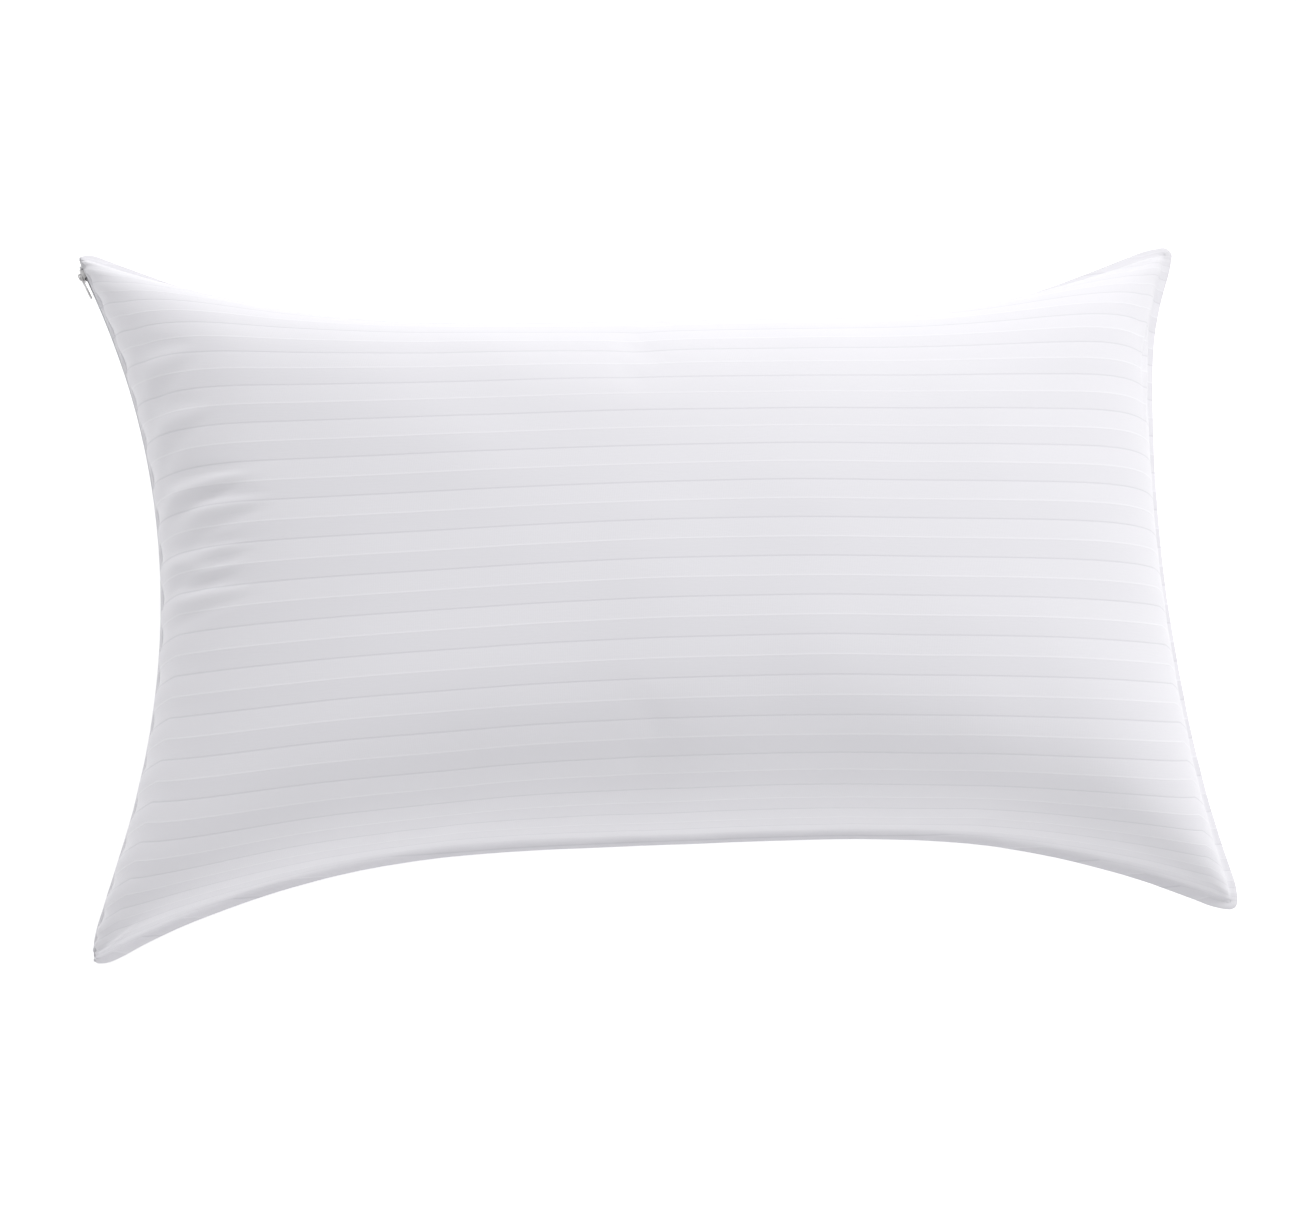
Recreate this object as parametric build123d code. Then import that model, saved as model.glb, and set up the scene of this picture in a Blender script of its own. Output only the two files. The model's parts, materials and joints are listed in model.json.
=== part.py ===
from build123d import *

# Bed pillow with a striped sateen cover, closed by a coil zipper along one short end.
#
# Frame, in millimetres: X runs along the pillow, with the zipper at -X; Y runs across it, and the
# slider is parked at the +Y end of the zipper; Z is up. The pillow lies on its back panel, and the
# origin is on the face it rests on, straight below the middle of the four seam corners. The two
# cover panels meet in a horizontal seam plane at SEAM_Z.

import math
import os

# ---- Driving dimensions ---------------------------------------------------------------------
LENGTH = 730.0          # along X between the seam corners, filled
ZIP_WIDTH = 459.0       # along Y between the seam corners of the zipper end
END_WIDTH = 447.0       # the same at the plain end
WAIST_WIDTH = 339.0     # across the middle, where the long seams pull in
SIDE_FLARE = 0.48       # how early the long seams turn outward: 0 late, 1 early
ZIP_SAG = 51.0          # how far the zipper end pulls in between its corners
END_SAG = 23.0          # how far the plain end pulls in
PANEL_RISE = 118.0      # crown of each cover panel above the seam plane
SEAM_Z = 110.0          # the seam plane above the resting surface

LENGTH_SWELL, LENGTH_CROWN = 0.05, 0.12   # fullness of the section along the pillow
WIDTH_SWELL, WIDTH_CROWN = 0.15, 0.30     # fullness of the section across it

COVER_CLOTH = 1.2       # the cloth thicknesses include the loft that the filling presses into them
LINER_CLOTH = 0.8
LAYER_GAP = 0.4
LINER_ZIP_GAP = 12.0    # the liner stops short of the zipper's tapes and slider

FLANGE = 5.5            # width of the flat topstitched edge outside the seam
FLANGE_PLY = 0.8
CORNER_RADIUS = 5.0     # the seam line turns the corners on this radius
TIP_ROUNDING = 0.9      # how far past the seam line the panels' tips reach

THREAD = 0.5            # width of a row of stitching
THREAD_RISE = 0.25
THREAD_LIFT = 0.02      # keeps the zipper's topstitching just clear of the cloth
SEAM_TO_THREAD = 1.0    # the lockstitch, from the seam line
STITCH_FROM_FOLD = 5.5  # the zipper's topstitching, from the folded edge of the panel

# Zipper, size 3. Its centre line is an arc that bulges into the pillow.
TAPE_PLY = 0.5
TAPE_GAP = 0.05         # between the folded panels and the tape's outward face
TAPE_LEG_GAP = 0.1      # between the tape's leg and the panel it is turned behind
TAPE_END_GAP = 1.5      # from the tape's ends to the seam corners
TAPE_EDGE = 0.75        # half the gap between the two tapes
TAPE_TURN = 4.2         # where the tape turns inward behind the folded panel
TAPE_LEG = 7.5
COIL_HEIGHT = 1.9
COIL_EDGE = 2.1
SLOT_HALF = 4.3         # half the gap between the two folded panel edges
SLOT_BEHIND = 0.6       # how much further in than the slider the gap between the panels runs
CHAIN_END_GAP = 4.0     # from the chain's end to the seam corner
STOP_LENGTH = 1.6
STOP_OVERHANG = 0.2     # how far a moulded stop reaches past the coil's edge
STOP_PROUD = 0.1        # and how far it stands above the coil
SLIDER_LENGTH = 8.2
SLIDER_HALF_WIDTH = 3.4
SLIDER_PLATE = 0.9
SLIDER_LIP = 0.8
SLIDER_WEB = 0.45       # half the thickness of the wedge between the plates
SLIDER_CLEAR = 0.25
SLIDER_CORNER = 1.4     # corner radius of the plates
WEB_LENGTH = 2.0
WEB_SETBACK = 0.2       # from the closed end of the plates
SLIDER_FROM_TIP = 8.5   # the parked slider's middle, from the seam corner
SLIDER_STOP_AT = 15.0   # the same at the open end
BAIL_HEIGHT = 2.4
BAIL_LENGTH = 4.6
BAIL_HALF_WIDTH = 0.6
BAIL_BAR = 0.8
BAIL_BEND = 1.0         # radius of the bail's outer bends
PULL_LENGTH = 17.0
PULL_HALF_WIDTH = 2.4
PULL_PLY = 1.1
PULL_PIN_RADIUS = 0.45
PULL_KNUCKLE_RADIUS = 0.7
PULL_WINDOW_GAP = 0.7   # from the bail to the end of the window it stands in
PULL_END_FLAT = 0.4     # what the rounding of the pull's tip leaves flat on either side
GRIP_HOLE_RADIUS = 0.9
GRIP_HOLE_FROM_END = 3.0

# How finely the curved surfaces are sampled.
ROWS_ALONG = 41
ROWS_ACROSS = 31
STITCH_POINTS = 29
SURFACE_TOLERANCE = 0.01
WALK_STEP = 0.0005      # radians

# Cutting tools reach this far past what they cut.
PAST_TIP_TURN = 4.0     # degrees
PAST_FACE = 20.0

# ---- Figures that follow from them ----------------------------------------------------------
HALF_LENGTH = LENGTH / 2


def arc_radius(chord, sag):
    """Radius of the arc through the two seam corners of an end that pulls in by sag."""
    return (chord ** 2 / 4 + sag ** 2) / (2 * sag)


ZIP_RADIUS = arc_radius(ZIP_WIDTH, ZIP_SAG)
END_RADIUS = arc_radius(END_WIDTH, END_SAG)
ZIP_CENTRE_X = -HALF_LENGTH + ZIP_SAG - ZIP_RADIUS
END_CENTRE_X = HALF_LENGTH - END_SAG + END_RADIUS
TIP_ANGLE = math.degrees(math.asin(ZIP_WIDTH / 2 / ZIP_RADIUS))

TAPE_OUTER = ZIP_RADIUS + COVER_CLOTH + TAPE_GAP  # radius of the tape's outward face
TAPE_INNER = TAPE_OUTER + TAPE_PLY
COIL_OUTER = TAPE_OUTER - COIL_HEIGHT


def turn_for(distance):
    """Angle in degrees about the zipper's centre that covers a distance along its arc."""
    return math.degrees(distance / ZIP_RADIUS)


CHAIN_ANGLE = TIP_ANGLE - turn_for(CHAIN_END_GAP)
PARK_ANGLE = TIP_ANGLE - turn_for(SLIDER_FROM_TIP)
TRAVEL_ANGLE = PARK_ANGLE + TIP_ANGLE - turn_for(SLIDER_STOP_AT)


# ---- Panels ---------------------------------------------------------------------------------
def swell(angle, amount):
    return math.sin(angle) * (1 + amount * math.cos(angle) ** 2)


def crown(angle, amount):
    return math.cos(angle) * (1 + amount * math.sin(angle) ** 2)


def half_width_at(along):
    """Half the width of the seam outline, along running from -1 to 1 over the length."""
    corner_width = ZIP_WIDTH if along < 0 else END_WIDTH
    flare = along ** 4 * (1 + SIDE_FLARE - SIDE_FLARE * along ** 4)
    return (WAIST_WIDTH + (corner_width - WAIST_WIDTH) * flare) / 2


def side_lean(along):
    """The angle between the far long seam and the X axis, in radians."""
    corner_width = ZIP_WIDTH if along < 0 else END_WIDTH
    climb = 4 * along ** 3 * (1 + SIDE_FLARE - 2 * SIDE_FLARE * along ** 4)
    return math.atan(climb * (corner_width - WAIST_WIDTH) / LENGTH)


def dome_point(theta, phi, inset):
    """A point of a panel, above a seam plane at z = 0, drawn in by inset all round."""
    along = swell(theta, LENGTH_SWELL)
    across = swell(phi, WIDTH_SWELL)
    y = across * (half_width_at(along) - inset)
    zip_x = ZIP_CENTRE_X + math.sqrt((ZIP_RADIUS + inset) ** 2 - y ** 2)
    end_x = END_CENTRE_X - math.sqrt((END_RADIUS + inset) ** 2 - y ** 2)
    x = zip_x + (end_x - zip_x) * (1 + along) / 2
    z = (PANEL_RISE - inset) * crown(theta, LENGTH_CROWN) * crown(phi, WIDTH_CROWN)
    return (x, y, z)


def spread(count):
    """Angles from -90 to 90 degrees, in radians."""
    return [math.pi * (i / (count - 1) - 0.5) for i in range(count)]


def side_point(along, grow):
    """A point grow outside the far long seam, measured square to it."""
    lean = side_lean(along)
    return (along * HALF_LENGTH - grow * math.sin(lean), half_width_at(along) + grow * math.cos(lean))


def corner_point(end, grow):
    """Where the far side and an end, both grow outside the seam, meet: end is -1 or +1."""
    radius = ZIP_RADIUS if end < 0 else END_RADIUS
    half_width = half_width_at(end)
    lean = side_lean(end)
    turn = math.asin(half_width / radius)
    side_normal = (-math.sin(lean), math.cos(lean))
    end_normal = (end * math.cos(turn), -math.sin(turn))
    together = 1 + side_normal[0] * end_normal[0] + side_normal[1] * end_normal[1]
    shift = [grow * (a + b) / together for a, b in zip(side_normal, end_normal)]
    return (end * HALF_LENGTH + shift[0], half_width + shift[1])


def flange_outline(grow):
    """The outline grow outside the seam, with its four corners rounded, in the seam plane."""
    zip_corner = corner_point(-1, grow)
    end_corner = corner_point(1, grow)
    inner_steps = [i / 8 for i in range(-7, 8)]
    far = [zip_corner] + [side_point(s, grow) for s in inner_steps] + [end_corner]
    near = [(x, -y) for x, y in far]
    zip_middle = (ZIP_CENTRE_X + ZIP_RADIUS - grow, 0)
    end_middle = (END_CENTRE_X - END_RADIUS + grow, 0)
    edges = [
        ThreePointArc(near[0], zip_middle, far[0]),
        Spline(far),
        ThreePointArc(near[-1], end_middle, far[-1]),
        Spline(near),
    ]
    face = make_face(edges)
    return fillet(face.vertices(), radius=CORNER_RADIUS + grow)


def outline_prism(grow):
    """A column on the rounded outline, to take the sharp tips off a panel's corners."""
    return extrude(flange_outline(grow), amount=PANEL_RISE + PAST_FACE)


def dome(inset):
    """The solid between a panel's surface, drawn in by inset, and its seam plane at z = 0."""
    rows = [
        [dome_point(theta, phi, inset) for phi in spread(ROWS_ACROSS)] for theta in spread(ROWS_ALONG)
    ]
    skin = Face.make_surface_from_array_of_points(rows, tol=SURFACE_TOLERANCE, min_deg=3, max_deg=5)
    base = Face(Wire(skin.edges()))
    return Solid(Shell([skin, base])) & outline_prism(TIP_ROUNDING - inset)


def upward(solid):
    return solid.moved(Location((0, 0, SEAM_Z)))


def downward(solid):
    return solid.mirror(Plane.XY).moved(Location((0, 0, SEAM_Z)))


def floor_cut(level):
    """Everything below a level, to flatten what lies on the ground."""
    return Pos(0, 0, level - PANEL_RISE) * Box(2 * LENGTH, 2 * ZIP_WIDTH, 2 * PANEL_RISE)


def ring_sector(inner, outer, low, high, start, end):
    """A bent bar about the zipper's centre, from angle start to end, between heights off the seam."""
    face = Rot(0, 0, start) * make_face(Polyline(
        (inner, 0, low), (outer, 0, low), (outer, 0, high), (inner, 0, high), close=True))
    bar = revolve(face, axis=Axis.Z, revolution_arc=end - start)
    return Pos(ZIP_CENTRE_X, 0, SEAM_Z) * bar


def zipper_slot():
    """The gap between the folded edges of the panels, where the chain and slider run."""
    past_tips = TIP_ANGLE + PAST_TIP_TURN
    outer = TAPE_INNER + SLIDER_CLEAR + SLIDER_PLATE + SLOT_BEHIND
    return ring_sector(ZIP_RADIUS - PAST_FACE, outer, -SLOT_HALF, SLOT_HALF, -past_tips, past_tips)


def flange_ply(side):
    """One ply of the flat edge: side is +1 for the front panel and -1 for the back one."""
    ply = extrude(flange_outline(FLANGE), amount=side * FLANGE_PLY)
    return Pos(0, 0, SEAM_Z) * ply


def cover_front_panel():
    body = upward(dome(0)) + flange_ply(1)
    return body - upward(dome(COVER_CLOTH)) - zipper_slot()


def cover_back_panel():
    body = downward(dome(0)) + flange_ply(-1)
    inside = downward(dome(COVER_CLOTH)) - floor_cut(COVER_CLOTH)
    return body - inside - zipper_slot() - floor_cut(0)


def zipper_room(depth):
    """The end of the cover that the liner keeps out of, for the tapes and the slider."""
    radius = ZIP_RADIUS + LINER_ZIP_GAP + depth
    return Pos(ZIP_CENTRE_X, 0, SEAM_Z) * Cylinder(radius, 3 * PANEL_RISE)


def liner_layer(depth):
    """Both halves of a shape nested inside the cover, depth in from the cover's surface."""
    shape = dome(depth)
    room = zipper_room(depth)
    return upward(shape) - room, downward(shape) - room - floor_cut(depth)


def liner_and_fill():
    """The inner bag's two panels and the filling inside it."""
    outside = COVER_CLOTH + LAYER_GAP
    inside = outside + LINER_CLOTH
    fill = inside + LAYER_GAP
    top_out, bottom_out = liner_layer(outside)
    top_in, bottom_in = liner_layer(inside)
    top_fill, bottom_fill = liner_layer(fill)
    return top_out - top_in, bottom_out - bottom_in, top_fill + bottom_fill


# ---- Stitching ------------------------------------------------------------------------------
def flange_thread(side):
    """The row of lockstitch round the three sewn sides, on one face of the flange."""
    row = flange_outline(SEAM_TO_THREAD + THREAD) - flange_outline(SEAM_TO_THREAD)
    thread = Pos(0, 0, SEAM_Z + side * FLANGE_PLY) * extrude(row, amount=side * THREAD_RISE)
    return thread - zipper_slot()


def fold_theta(phi, distance):
    """The angle theta at which the front panel is a distance along its surface from the fold."""
    theta = -math.pi / 2
    walked = -SLOT_HALF
    previous = dome_point(theta, phi, 0)
    while walked < distance:
        theta += WALK_STEP
        point = dome_point(theta, phi, 0)
        walked += math.dist(point, previous)
        previous = point
    return theta


def zipper_stitch():
    """Topstitching that holds the folded panel to the tape, as a strip on the panel."""
    near, far = [], []
    for phi in spread(STITCH_POINTS)[1:-1]:
        near.append(dome_point(fold_theta(phi, STITCH_FROM_FOLD), phi, -THREAD_LIFT))
        far.append(dome_point(fold_theta(phi, STITCH_FROM_FOLD + THREAD), phi, -THREAD_LIFT))
    strip = Face.make_surface_from_array_of_points(
        [near, far], tol=SURFACE_TOLERANCE, min_deg=1, max_deg=3)
    return Solid.thicken(strip, THREAD_RISE)


# ---- Zipper ---------------------------------------------------------------------------------
def zipper_tape():
    """The front tape: a wall that carries the coil, then a leg turned in behind the panel."""
    end = TIP_ANGLE - turn_for(TAPE_END_GAP)
    wall = ring_sector(TAPE_OUTER, TAPE_INNER, TAPE_EDGE, TAPE_TURN, -end, end)
    leg = ring_sector(TAPE_OUTER, TAPE_INNER + TAPE_LEG, TAPE_TURN - TAPE_PLY, TAPE_TURN, -end, end)
    return wall + (leg & upward(dome(COVER_CLOTH + TAPE_LEG_GAP)))


def zipper_coil():
    """The front half of the chain, as the envelope of its coil; its loops meet over the gap."""
    return ring_sector(COIL_OUTER, TAPE_OUTER, TAPE_EDGE, COIL_EDGE, -CHAIN_ANGLE, CHAIN_ANGLE)


def zipper_stop(low, high, start):
    """A moulded stop on the outward face of the tapes."""
    end = start + turn_for(STOP_LENGTH)
    return ring_sector(COIL_OUTER - STOP_PROUD, TAPE_OUTER, low, high, start, end)


def zipper_top_stops():
    stop = zipper_stop(TAPE_EDGE, COIL_EDGE + STOP_OVERHANG, CHAIN_ANGLE)
    return [stop, mirrored(stop)]


def zipper_bottom_stop():
    edge = COIL_EDGE + STOP_OVERHANG
    return zipper_stop(-edge, edge, -CHAIN_ANGLE - turn_for(STOP_LENGTH))


def mirrored(shape):
    """The same piece on the other side of the seam plane."""
    return shape.mirror(Plane.XY.offset(SEAM_Z))


def block(x_range, y_range, z_range):
    """A box between two corners, in the slider's frame."""
    low = (x_range[0], y_range[0], z_range[0])
    size = [high - start for start, high in (x_range, y_range, z_range)]
    return Pos(*low) * Box(*size, align=(Align.MIN, Align.MIN, Align.MIN))


# In the slider's frame X is outward from the zipper's centre, so -X points out of the pillow;
# Y is along the chain, towards the closed end, and Z is measured from the seam plane.
PLATE_BASE = COIL_OUTER - SLIDER_CLEAR
PLATE_TOP = PLATE_BASE - SLIDER_PLATE
PULL_AXIS = PLATE_TOP - (BAIL_HEIGHT - BAIL_BAR) / 2


def parked(shape):
    """From the slider's frame to its place at the closed end."""
    return Pos(ZIP_CENTRE_X, 0, SEAM_Z) * Rot(0, 0, PARK_ANGLE) * shape


def slider_plate(x_range):
    half = SLIDER_LENGTH / 2
    plate = block(x_range, (-half, half), (-SLIDER_HALF_WIDTH, SLIDER_HALF_WIDTH))
    return fillet(plate.edges().filter_by(Axis.X), radius=SLIDER_CORNER)


def zipper_slider():
    half = SLIDER_LENGTH / 2
    width = SLIDER_HALF_WIDTH
    inner_base = TAPE_INNER + SLIDER_CLEAR
    outer = slider_plate((PLATE_TOP, PLATE_BASE))
    inner = slider_plate((inner_base, inner_base + SLIDER_PLATE))
    lip_x = (PLATE_TOP, TAPE_OUTER - SLIDER_CLEAR)
    lip = block(lip_x, (SLIDER_CORNER - half, half - SLIDER_CORNER), (width - SLIDER_LIP, width))
    web_x = (PLATE_TOP, inner_base + SLIDER_PLATE)
    web_end = half - WEB_SETBACK
    web = block(web_x, (web_end - WEB_LENGTH, web_end), (-SLIDER_WEB, SLIDER_WEB))
    bail_y = BAIL_LENGTH / 2
    bail_z = (-BAIL_HALF_WIDTH, BAIL_HALF_WIDTH)
    bail = block((PLATE_TOP - BAIL_HEIGHT, PLATE_TOP), (-bail_y, bail_y), bail_z)
    bail = fillet(bail.edges().filter_by(Axis.Z).sort_by(Axis.X)[:2], radius=BAIL_BEND)
    eye_y = bail_y - BAIL_BAR
    eye = block((PLATE_TOP - BAIL_HEIGHT + BAIL_BAR, PLATE_TOP), (-eye_y, eye_y), bail_z)
    return parked(outer + inner + lip + lip.mirror(Plane.XY) + web + (bail - eye))


def zipper_pull():
    """The pull tab, lying back along the closed chain, with the pin it swings on."""
    half = PULL_HALF_WIDTH
    cheek_inside = BAIL_HALF_WIDTH + SLIDER_CLEAR
    window_end = BAIL_LENGTH / 2 + PULL_WINDOW_GAP
    thick = (PULL_AXIS - PULL_PLY / 2, PULL_AXIS + PULL_PLY / 2)
    blade = block(thick, (-PULL_LENGTH, -window_end), (-half, half))
    blade = fillet(blade.edges().filter_by(Axis.X).sort_by(Axis.Y)[:2], radius=half - PULL_END_FLAT)
    hole_y = GRIP_HOLE_FROM_END - PULL_LENGTH
    grip_hole = Pos(PULL_AXIS, hole_y, 0) * Rot(0, 90, 0) * Cylinder(GRIP_HOLE_RADIUS, 3 * PULL_PLY)
    cheek = block(thick, (-window_end, 0), (cheek_inside, half))
    knuckle_z = (cheek_inside + half) / 2
    knuckle = Pos(PULL_AXIS, 0, knuckle_z) * Cylinder(PULL_KNUCKLE_RADIUS, half - cheek_inside)
    side = cheek + knuckle
    pin = Pos(PULL_AXIS, 0, 0) * Cylinder(PULL_PIN_RADIUS, 2 * half - PULL_END_FLAT)
    return parked(blade - grip_hole + side + side.mirror(Plane.XY) + pin)


# ---- Write every piece ----------------------------------------------------------------------
def pieces():
    liner_front, liner_back, fill = liner_and_fill()
    tape = zipper_tape()
    coil = zipper_coil()
    stitch = upward(zipper_stitch())
    return {
        "cover_front_panel": cover_front_panel(),
        "cover_back_panel": cover_back_panel(),
        "liner_front_panel": liner_front,
        "liner_back_panel": liner_back,
        "fibre_fill": fill,
        "seam_needle_thread": flange_thread(1),
        "seam_bobbin_thread": flange_thread(-1),
        "zipper_stitch_front": stitch,
        "zipper_stitch_back": mirrored(stitch),
        "zipper_tape_front": tape,
        "zipper_tape_back": mirrored(tape),
        "zipper_coil_front": coil,
        "zipper_coil_back": mirrored(coil),
        "zipper_top_stops": zipper_top_stops(),
        "zipper_bottom_stop": zipper_bottom_stop(),
        "zipper_slider": zipper_slider(),
        "zipper_pull": zipper_pull(),
    }


def main():
    os.makedirs("parts", exist_ok=True)
    for name, shape in pieces().items():
        shapes = shape if isinstance(shape, list) else [shape]
        solids = [solid for each in shapes for solid in each.solids()]
        export_step(Compound(children=solids), f"parts/{name}.step")
    pull_x = ZIP_CENTRE_X + PULL_AXIS * math.cos(math.radians(PARK_ANGLE))
    pull_y = PULL_AXIS * math.sin(math.radians(PARK_ANGLE))
    print("slider turns about x, y =", round(ZIP_CENTRE_X, 3), 0.0)
    print("slider travel, degrees =", round(TRAVEL_ANGLE, 3))
    print("pull swings about x, y =", round(pull_x, 3), round(pull_y, 3))


if __name__ == "__main__":
    main()
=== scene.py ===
import json
import math

import bpy
import numpy as np
from mathutils import Euler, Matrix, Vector, noise


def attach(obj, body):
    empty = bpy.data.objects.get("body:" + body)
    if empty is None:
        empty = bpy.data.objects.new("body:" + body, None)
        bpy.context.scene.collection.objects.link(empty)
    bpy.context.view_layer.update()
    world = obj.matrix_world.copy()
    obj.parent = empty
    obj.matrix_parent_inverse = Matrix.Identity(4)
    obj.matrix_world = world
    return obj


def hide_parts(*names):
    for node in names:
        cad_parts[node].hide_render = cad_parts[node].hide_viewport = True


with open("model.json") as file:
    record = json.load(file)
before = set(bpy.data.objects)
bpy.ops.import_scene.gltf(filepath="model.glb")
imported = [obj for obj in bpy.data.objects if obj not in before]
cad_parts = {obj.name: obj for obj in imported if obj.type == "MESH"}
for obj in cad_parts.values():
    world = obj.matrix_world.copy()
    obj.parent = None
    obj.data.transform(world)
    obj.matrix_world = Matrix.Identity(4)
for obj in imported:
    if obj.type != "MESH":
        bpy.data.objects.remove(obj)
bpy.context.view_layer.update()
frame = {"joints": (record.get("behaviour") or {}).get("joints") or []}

# A filled bed pillow. Its two cover panels are cloth, simulated between the seam lines of the CAD
# model, then finished with their flat sewn edge, folded zipper edge, creases and stitches.
# All sizes are metres, and the names match the driving dimensions of the CAD model.

# ---- The seam line and crown of the CAD model --------------------------------------------------
LENGTH = 0.730
ZIP_WIDTH = 0.459
END_WIDTH = 0.447
WAIST_WIDTH = 0.339
SIDE_FLARE = 0.48
ZIP_SAG = 0.051
END_SAG = 0.023
PANEL_RISE = 0.118
LENGTH_SWELL, LENGTH_CROWN = 0.05, 0.12
WIDTH_SWELL, WIDTH_CROWN = 0.15, 0.30
FLANGE = 0.0055
COVER_CLOTH = 0.0012
TAPE_GAP = 0.00005
TAPE_EDGE = 0.00075
COIL_HEIGHT = 0.0019
COIL_EDGE = 0.0021
CHAIN_END_GAP = 0.0040

JOINTS = {joint["name"]: joint for joint in frame["joints"]}
ZIP_CENTRE = Vector(JOINTS["slider_travel"]["pos_m"])
SEAM_Z = ZIP_CENTRE.z
ZIP_RADIUS = (ZIP_WIDTH ** 2 / 4 + ZIP_SAG ** 2) / (2 * ZIP_SAG)
END_RADIUS = (END_WIDTH ** 2 / 4 + END_SAG ** 2) / (2 * END_SAG)
END_CENTRE_X = LENGTH / 2 - END_SAG + END_RADIUS
TIP_ANGLE = math.asin(ZIP_WIDTH / 2 / ZIP_RADIUS)
TAPE_OUTER = ZIP_RADIUS + COVER_CLOTH + TAPE_GAP

# ---- The cloth ---------------------------------------------------------------------------------
FLAT_LENGTH = 0.751     # seam to seam before filling
FLAT_WIDTH = 0.487
BAND = 0.0125           # width of one woven band
BAND_START = 0.0033     # where a band line lies across the cloth
CELL = 0.008            # size of a simulated cell
FINE = 3                # cells of the finished mesh in each simulated one
CLOTH_THICKNESS = 0.0004
FOLD_GAP = 0.0039       # half the gap between the panels' folded edges at the zipper
SEWN_GAP = 0.0004       # half the distance between the two plies of the flat edge
STITCH_FROM_FOLD = 0.0055
STITCH_PITCH, STITCH_LENGTH, THREAD_RADIUS = 0.0030, 0.0026, 0.00022

# The gathered ends draw the bands together: from where, over what distance, how much, about where.
DRAW_FROM, DRAW_SPAN, DRAW, DRAW_CENTRE = 0.120, 0.165, 0.135, 0.047


def band_place(u, v):
    """Where the woven bands lie across the cloth."""
    ends = np.clip((np.abs(u) - DRAW_FROM) / DRAW_SPAN, 0, 1.3)
    return v + (v - DRAW_CENTRE) * DRAW * ends ** 2


def smooth_step(low, high, value):
    t = np.clip((value - low) / (high - low), 0, 1)
    return t * t * (3 - 2 * t)


def bump(value, centre, width):
    """A smooth bump of height 1 about centre, almost gone after two widths."""
    return np.exp(-((value - centre) / width) ** 2)


# ---- The shape that the cloth starts from and leans on -------------------------------------------
def swell(angle, amount):
    return np.sin(angle) * (1 + amount * np.cos(angle) ** 2)


def crown(angle, amount):
    return np.cos(angle) * (1 + amount * np.sin(angle) ** 2)


def angle_table(reach, amount_swell, amount_crown):
    """Angles against the share of the arc over a section of the pillow, from -1 to 1."""
    angles = np.linspace(-math.pi / 2, math.pi / 2, 2001)
    across = reach * swell(angles, amount_swell)
    height = PANEL_RISE * crown(angles, amount_crown)
    walked = np.concatenate([[0], np.cumsum(np.hypot(np.diff(across), np.diff(height)))])
    return 2 * walked / walked[-1] - 1, angles


def half_width_at(along):
    corner_width = np.where(along < 0, ZIP_WIDTH, END_WIDTH)
    flare = along ** 4 * (1 + SIDE_FLARE - SIDE_FLARE * along ** 4)
    return (WAIST_WIDTH + (corner_width - WAIST_WIDTH) * flare) / 2


def dome(theta, phi):
    """Points of a panel above its seam plane."""
    along = swell(theta, LENGTH_SWELL)
    y = swell(phi, WIDTH_SWELL) * half_width_at(along)
    zip_x = ZIP_CENTRE.x + np.sqrt(ZIP_RADIUS ** 2 - y ** 2)
    end_x = END_CENTRE_X - np.sqrt(END_RADIUS ** 2 - y ** 2)
    x = zip_x + (end_x - zip_x) * (1 + along) / 2
    z = PANEL_RISE * crown(theta, LENGTH_CROWN) * crown(phi, WIDTH_CROWN)
    return np.stack([x, y, z], -1)


# Each corner: how far its sharp tip is tucked in to round it, over what distance, and how far the
# whole corner leans along X and Y from its place in the evenly shaped model.
TIPS = {
    (-1, 1): (0.0026, 0.012, -0.0012, 0.0052),
    (-1, -1): (0.0085, 0.024, 0.0016, -0.0088),
    (1, 1): (0.0060, 0.018, 0.0140, 0.0078),
    (1, -1): (0.0055, 0.016, 0.0040, -0.0064),
}
LEAN_SPAN = 0.075
TIP_INWARD = (0.72, 0.69)      # the direction in which a tip is tucked
TIP_SHAPE = 1.6
FOLD_FADE = 0.008               # the zipper's gap closes over this distance into the panel


def tuck_tips(points):
    """Moves the corners, so that the seam turns each one on a radius."""
    tucked = points.copy()
    for (end, side), (depth, span, lean_x, lean_y) in TIPS.items():
        tip = np.array([end * LENGTH / 2, side * (ZIP_WIDTH if end < 0 else END_WIDTH) / 2])
        inward = np.array([-end * TIP_INWARD[0], -side * TIP_INWARD[1]])
        away = np.linalg.norm(points[..., :2] - tip, axis=-1)
        reach = depth * np.clip(1 - away / span, 0, 1) ** TIP_SHAPE
        lean = np.clip(1 - away / LEAN_SPAN, 0, 1) ** 2
        tucked[..., 0] += inward[0] * reach + lean_x * lean
        tucked[..., 1] += inward[1] * reach + lean_y * lean
    return tucked


def panel_start(cells_along, cells_across):
    """A panel's flat cloth coordinates and its filled shape, as grids of points."""
    share_along = np.linspace(-1, 1, cells_along + 1)
    share_across = np.linspace(-1, 1, cells_across + 1)
    middle_length = LENGTH / 2 - (ZIP_SAG + END_SAG) / 2
    theta = np.interp(share_along, *angle_table(middle_length, LENGTH_SWELL, LENGTH_CROWN))
    phi = np.interp(share_across, *angle_table(WAIST_WIDTH / 2, WIDTH_SWELL, WIDTH_CROWN))
    filled = tuck_tips(dome(theta[:, None], phi[None, :]))
    u, v = np.meshgrid(share_along * FLAT_LENGTH / 2, share_across * FLAT_WIDTH / 2, indexing="ij")
    flat = np.stack([u, v, np.zeros_like(u)], -1)
    near_zip = np.exp(-(filled[..., 0] - filled[:1, :, 0]) / FOLD_FADE)
    near_zip *= smooth_step(0, CHAIN_END_GAP, (1 - np.abs(share_across)) * FLAT_WIDTH / 2)
    filled[..., 2] += SEWN_GAP + (FOLD_GAP - SEWN_GAP) * near_zip * (1 - filled[..., 2] / PANEL_RISE)
    return flat, filled


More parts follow.
